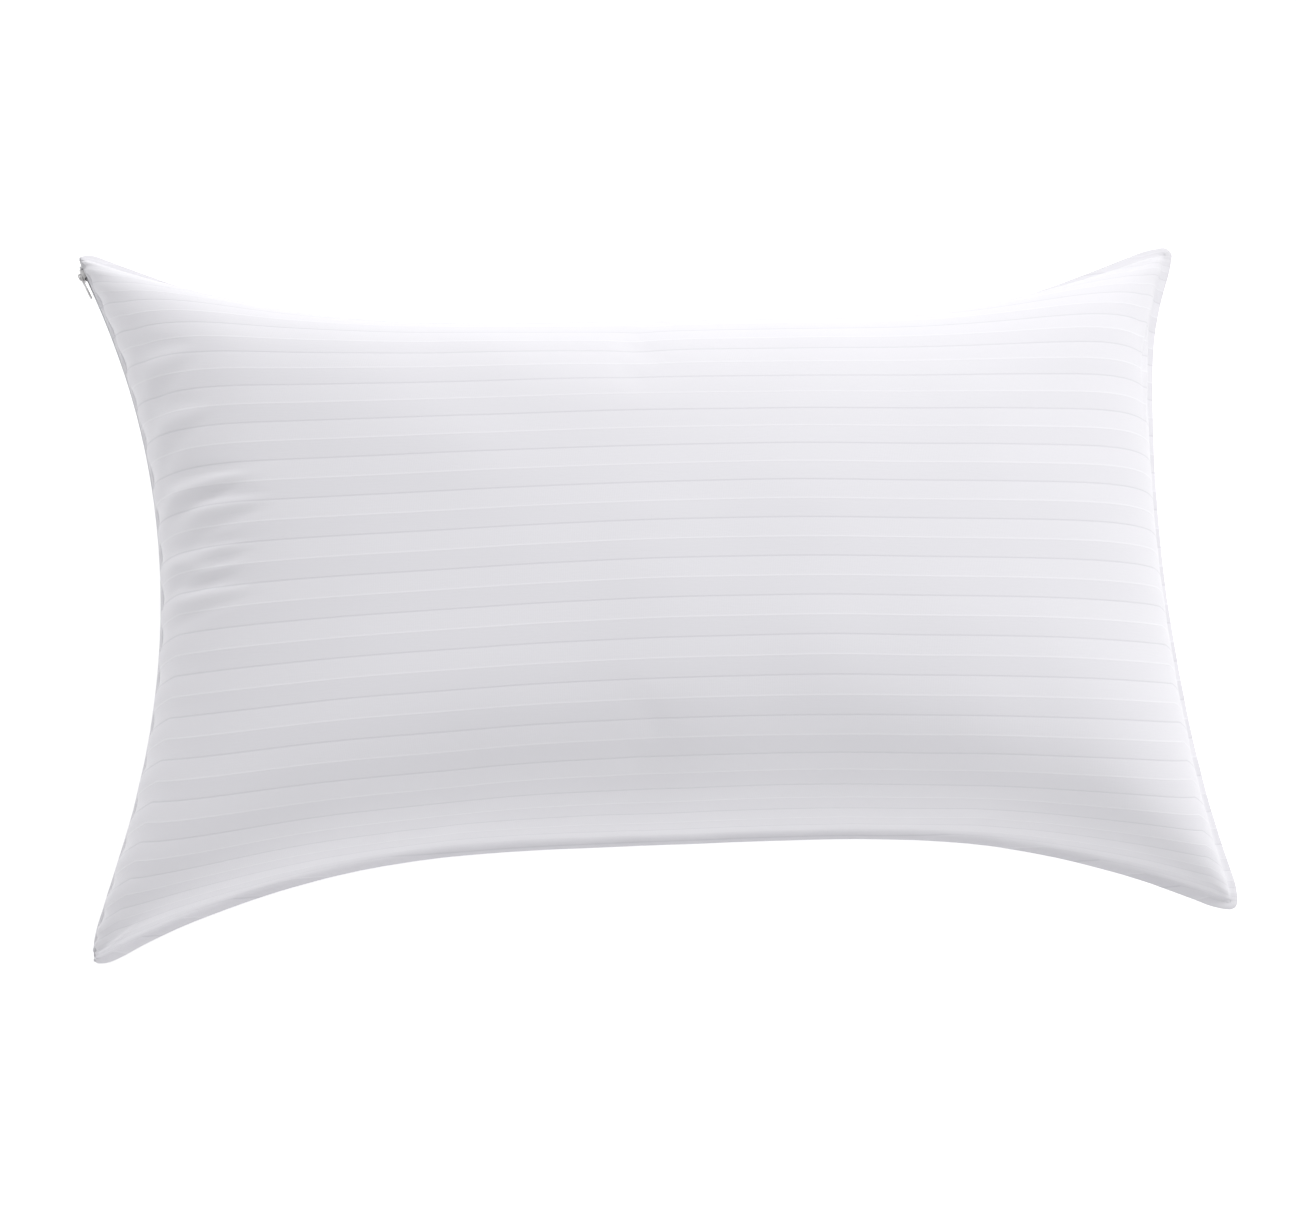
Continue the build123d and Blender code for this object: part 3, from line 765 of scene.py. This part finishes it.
# ---- Materials -----------------------------------------------------------------------------------
class Nodes:
    """A short way to write a node material."""

    def __init__(self, name):
        self.material = bpy.data.materials.new(name)
        self.material.use_nodes = True
        self.tree = self.material.node_tree
        self.shader = self.tree.nodes["Principled BSDF"]

    def link(self, value, socket):
        if isinstance(value, bpy.types.NodeSocket):
            self.tree.links.new(value, socket)
        else:
            socket.default_value = value

    def math(self, operation, *values, clamp=False):
        node = self.tree.nodes.new("ShaderNodeMath")
        node.operation = operation
        node.use_clamp = clamp
        for socket, value in zip(node.inputs, values):
            self.link(value, socket)
        return node.outputs[0]

    def cloth(self):
        """Cloth coordinates in metres: along the pillow and across it."""
        node = self.tree.nodes.new("ShaderNodeUVMap")
        node.uv_map = "cloth"
        split = self.tree.nodes.new("ShaderNodeSeparateXYZ")
        self.link(node.outputs[0], split.inputs[0])
        return node.outputs[0], split.outputs[0], split.outputs[1]

    def place(self):
        return self.tree.nodes.new("ShaderNodeTexCoord").outputs["Object"]

    def noise(self, vector, scale, detail=2.0, stretch=(1, 1, 1)):
        mapping = self.tree.nodes.new("ShaderNodeMapping")
        mapping.inputs["Scale"].default_value = stretch
        self.link(vector, mapping.inputs["Vector"])
        node = self.tree.nodes.new("ShaderNodeTexNoise")
        node.inputs["Scale"].default_value = scale
        node.inputs["Detail"].default_value = detail
        self.link(mapping.outputs[0], node.inputs["Vector"])
        return node.outputs["Fac"]

    def mix(self, factor, first, second):
        node = self.tree.nodes.new("ShaderNodeMix")
        node.data_type = "RGBA"
        self.link(factor, node.inputs[0])
        self.link(first, node.inputs[6])
        self.link(second, node.inputs[7])
        return node.outputs[2]

    def range(self, value, low, high, to_low, to_high):
        node = self.tree.nodes.new("ShaderNodeMapRange")
        for socket, given in zip(node.inputs, (value, low, high, to_low, to_high)):
            self.link(given, socket)
        return node.outputs[0]

    def bump(self, height, distance, strength=1.0, under=None):
        node = self.tree.nodes.new("ShaderNodeBump")
        node.inputs["Strength"].default_value = strength
        node.inputs["Distance"].default_value = distance
        self.link(height, node.inputs["Height"])
        if under is not None:
            self.link(under, node.inputs["Normal"])
        return node.outputs[0]

    def set(self, **values):
        names = {
            "color": "Base Color", "rough": "Roughness", "metal": "Metallic", "normal": "Normal",
            "sheen": "Sheen Weight", "sheen_rough": "Sheen Roughness", "specular": "Specular IOR Level",
        }
        for name, value in values.items():
            self.link(value, self.shader.inputs[names[name]])
        return self.material


WEAVE = 0.00035


def sateen():
    """Cotton sateen woven in plain and satin bands, with a fine groove and ridge at each change; the
    groove's colour is darkened as painted shade and the ridge's lightened as painted highlight.
    """
    n = Nodes("sateen")
    place, along, across = n.cloth()
    phase = n.math("FRACT", n.math("DIVIDE", n.math("SUBTRACT", across, BAND_START), 2 * BAND))
    satin = n.math("MULTIPLY",
                   n.range(phase, 0.0, 0.02, 0.0, 1.0),
                   n.range(phase, 0.48, 0.5, 1.0, 0.0))
    from_dark = n.math("ABSOLUTE", n.math("SUBTRACT", n.math("FRACT", n.math("ADD", phase, 0.5)), 0.5))
    from_light = n.math("ABSOLUTE", n.math("SUBTRACT", phase, 0.5))
    groove_and_painted_shade = n.range(from_dark, 0.0, 0.030, 1.0, 0.0)
    ridge_and_painted_highlight = n.range(from_light, 0.0, 0.030, 1.0, 0.0)
    slow = n.noise(place, 22, 3)
    color = n.mix(satin, (0.847, 0.835, 0.868, 1), (0.819, 0.807, 0.841, 1))
    # painted shade: the colour darkens along the fine groove at each change of band
    color = n.mix(n.math("MULTIPLY", groove_and_painted_shade, 0.60), color, (0.66, 0.65, 0.69, 1))
    # painted highlight: the colour lightens along the fine ridge at each change of band
    color = n.mix(n.math("MULTIPLY", ridge_and_painted_highlight, 0.60), color, (0.93, 0.92, 0.95, 1))
    color = n.mix(n.range(slow, 0.3, 0.7, 0.0, 0.10), color, (0.79, 0.785, 0.82, 1))
    warp = n.math("SINE", n.math("MULTIPLY", across, 2 * math.pi / WEAVE))
    weft = n.math("SINE", n.math("MULTIPLY", along, 2 * math.pi / (WEAVE * 3.1)))
    weft_share = n.range(satin, 0, 1, 0.5, 0.15)
    weave = n.math("ADD", n.math("MULTIPLY", warp, 0.5), n.math("MULTIPLY", weft, weft_share))
    slub = n.noise(place, 900, 2, stretch=(0.12, 1, 1))
    from_seam = n.math("ABSOLUTE", n.math("SUBTRACT", along, STITCH_FROM_FOLD - FLAT_LENGTH / 2))
    seam = n.range(from_seam, 0.0, 0.0011, 1.0, 0.0)
    # painted shade: the colour darkens along the zipper's stitch line, in the dip that its stitching
    # pulls in
    color = n.mix(n.math("MULTIPLY", seam, 0.35), color, (0.58, 0.57, 0.61, 1))
    lines = n.math("SUBTRACT", n.math("SUBTRACT", ridge_and_painted_highlight, groove_and_painted_shade), n.math("MULTIPLY", seam, 5.0))
    height = n.bump(weave, 0.00003, 0.35)
    height = n.bump(slub, 0.00012, 0.4, height)
    height = n.bump(lines, 0.00010, 0.8, height)
    rough = n.range(satin, 0.0, 1.0, 0.72, 0.46)
    return n.set(color=color, rough=rough, sheen=0.25, sheen_rough=0.4, specular=0.35, normal=height)


def woven(name, color, shade, weave_scale, rough):
    """A plain woven cloth or tape."""
    n = Nodes(name)
    place = n.place()
    fine = n.noise(place, weave_scale, 2)
    slow = n.noise(place, 60, 2)
    tone = n.mix(n.range(slow, 0.35, 0.65, 0.0, 1.0), color, shade)
    return n.set(color=tone, rough=rough, sheen=0.2, sheen_rough=0.5, specular=0.3,
                 normal=n.bump(fine, 0.0002, 0.6))


def metal():
    """Nickel-plated metal with faint polishing marks and duller worn patches."""
    n = Nodes("nickel")
    place = n.place()
    marks = n.noise(place, 700, 3, stretch=(1, 0.2, 1))
    wear = n.noise(place, 180, 3)
    tone = n.mix(n.range(wear, 0.45, 0.62, 0.0, 1.0), (0.62, 0.61, 0.61, 1), (0.44, 0.43, 0.43, 1))
    return n.set(color=tone, metal=1.0, rough=n.range(marks, 0.3, 0.7, 0.22, 0.42),
                 normal=n.bump(marks, 0.00003, 0.4))


cover_finish = sateen()
liner_finish = woven("liner_cloth", (0.80, 0.80, 0.80, 1), (0.74, 0.74, 0.74, 1), 1400, 0.85)
fibre_finish = woven("fibre", (0.86, 0.86, 0.86, 1), (0.78, 0.78, 0.78, 1), 500, 0.95)
thread_finish = woven("thread", (0.86, 0.86, 0.88, 1), (0.76, 0.76, 0.79, 1), 5000, 0.55)
tape_finish = woven("zipper_tape", (0.80, 0.80, 0.81, 1), (0.72, 0.72, 0.74, 1), 2200, 0.8)
coil_finish = woven("zipper_coil", (0.82, 0.82, 0.84, 1), (0.76, 0.76, 0.79, 1), 900, 0.35)
metal_finish = metal()


def dress(piece, finish, slot, *nodes, body="pillow"):
    piece.data.materials.clear()
    piece.data.materials.append(finish)
    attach(piece, body)
    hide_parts(*nodes)


dress(covers["front"], cover_finish, "sateen_cover", "cover_front_panel")
dress(covers["back"], cover_finish, "sateen_cover", "cover_back_panel")
dress(liners["front"], liner_finish, "liner_cloth", "liner_front_panel")
dress(liners["back"], liner_finish, "liner_cloth", "liner_back_panel")
dress(fill, fibre_finish, "fibre", "fibre_fill")
dress(threads["needle_stitches"], thread_finish, "thread", "seam_needle_thread")
dress(threads["bobbin_stitches"], thread_finish, "thread", "seam_bobbin_thread")
dress(topstitches["front"], thread_finish, "thread", "zipper_stitch_front")
dress(topstitches["back"], thread_finish, "thread", "zipper_stitch_back")
dress(tapes["front"], tape_finish, "zipper_tape", "zipper_tape_front")
dress(tapes["back"], tape_finish, "zipper_tape", "zipper_tape_back")
dress(coils["front"], coil_finish, "zipper_coil", "zipper_coil_front")
dress(coils["back"], coil_finish, "zipper_coil", "zipper_coil_back")
dress(clip, coil_finish, "zipper_coil", "zipper_bottom_stop")
for node, finish in (
    ("zipper_top_stops", coil_finish), ("zipper_slider", metal_finish), ("zipper_pull", metal_finish),
):
    part = bpy.data.objects[node]
    part.data.materials.clear()
    part.data.materials.append(finish)

# ---- Floor, light and camera ---------------------------------------------------------------------
FLOOR_HALF = 6.0
FLOOR_GLOW = 0.37
SKY_LEVEL = 0.73
SKY_LEAN = (0.24, 0.08, 0.0)    # how much brighter the surroundings are towards each axis
floor = make_object(
    "floor",
    [(x * FLOOR_HALF, y * FLOOR_HALF, 0) for x, y in ((-1, -1), (1, -1), (1, 1), (-1, 1))],
    [(0, 1, 2, 3)],
)
ground = Nodes("floor")
ground.set(color=(0.93, 0.93, 0.93, 1), rough=0.9, specular=0.1)
ground.shader.inputs["Emission Color"].default_value = (1, 1, 1, 1)
ground.shader.inputs["Emission Strength"].default_value = FLOOR_GLOW
floor.data.materials.append(ground.material)

scene = bpy.context.scene
scene.view_settings.view_transform = "Standard"
world = bpy.data.worlds.new("studio")
scene.world = world
world.use_nodes = True
sky = world.node_tree
direction = sky.nodes.new("ShaderNodeTexCoord")
lean = sky.nodes.new("ShaderNodeVectorMath")
lean.operation = "DOT_PRODUCT"
lean.inputs[1].default_value = SKY_LEAN
level = sky.nodes.new("ShaderNodeMath")
level.inputs[1].default_value = SKY_LEVEL
sky.links.new(direction.outputs["Generated"], lean.inputs[0])
sky.links.new(lean.outputs["Value"], level.inputs[0])
sky.links.new(level.outputs[0], sky.nodes["Background"].inputs["Strength"])
sky.nodes["Background"].inputs["Color"].default_value = (0.985, 0.99, 1.0, 1)


def soft_light(name, place, target, size, power):
    lamp = bpy.data.lights.new(name, "AREA")
    lamp.shape = "DISK"
    lamp.size = size
    lamp.energy = power
    holder = bpy.data.objects.new(name, lamp)
    holder.location = place
    holder.rotation_euler = (Vector(target) - Vector(place)).to_track_quat("-Z", "Y").to_euler()
    scene.collection.objects.link(holder)


soft_light("key", (0.78, 2.12, 2.05), (0, 0, 0.1), 2.0, 30.5)

CAMERA_TURN = Euler((0.2943, -0.1114, -0.0620))
CAMERA_TARGET = Vector((-0.0012, -0.0169, 0.110))
CAMERA_AWAY = 1.819
camera_data = bpy.data.cameras.new("camera")
camera_data.sensor_width = 36
camera_data.lens = 77.49
camera = bpy.data.objects.new("camera", camera_data)
camera.rotation_euler = CAMERA_TURN
camera.location = CAMERA_TARGET + CAMERA_TURN.to_matrix() @ Vector((0, 0, CAMERA_AWAY))
scene.collection.objects.link(camera)
scene.camera = camera
